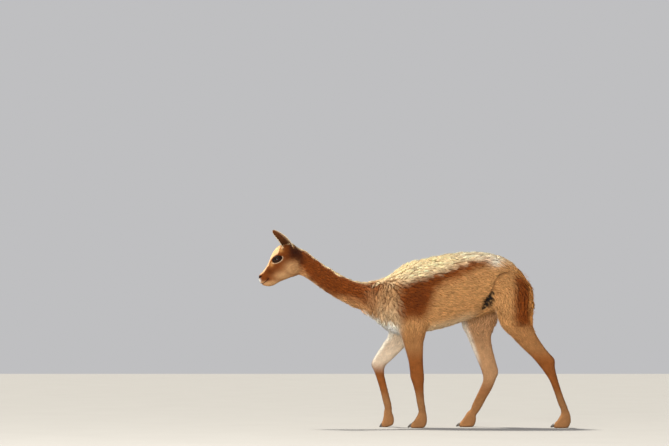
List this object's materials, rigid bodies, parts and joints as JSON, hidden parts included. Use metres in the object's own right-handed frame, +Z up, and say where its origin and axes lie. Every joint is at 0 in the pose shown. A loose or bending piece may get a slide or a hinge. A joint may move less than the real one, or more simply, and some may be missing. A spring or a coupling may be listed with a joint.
{
  "type": "vicuna model",
  "caption": "Life-size still model of a vicuna walking, slender neck stretched forward, short wool, pale shaggy chest bib, cupped ears and padded cloven feet.",
  "frame": {"origin": "middle of the length and width, on the floor under the feet", "axes": "-X towards the head, -Y towards the animal's left side, +Z up"},
  "size_m": [1.6136, 0.2754, 1.024],
  "materials": {
    "coat": "short matt wool, sandy cream above, rufous brown below the back, cream under parts",
    "eye": "wet gloss, very dark brown",
    "nail": "dark horn, half matt"
  },
  "bodies": {
    "root": {"head": "coat", "neck": "coat", "torso": "coat", "tail": "coat", "ear_left": "coat", "ear_right": "coat", "eye_left": "eye", "eye_right": "eye", "hindleg_left_thigh": "coat", "hindleg_left_shank": "coat", "hindleg_left_lower": "coat", "hindleg_left_foot": "coat", "hindleg_left_nail_inner": "nail", "hindleg_left_nail_outer": "nail", "hindleg_right_thigh": "coat", "hindleg_right_shank": "coat", "hindleg_right_lower": "coat", "hindleg_right_foot": "coat", "hindleg_right_nail_inner": "nail", "hindleg_right_nail_outer": "nail", "foreleg_left_upper": "coat", "foreleg_left_lower": "coat", "foreleg_left_foot": "coat", "foreleg_left_nail_inner": "nail", "foreleg_left_nail_outer": "nail", "foreleg_right_upper": "coat", "foreleg_right_lower": "coat", "foreleg_right_foot": "coat", "foreleg_right_nail_inner": "nail", "foreleg_right_nail_outer": "nail"}
  },
  "joints": []
}
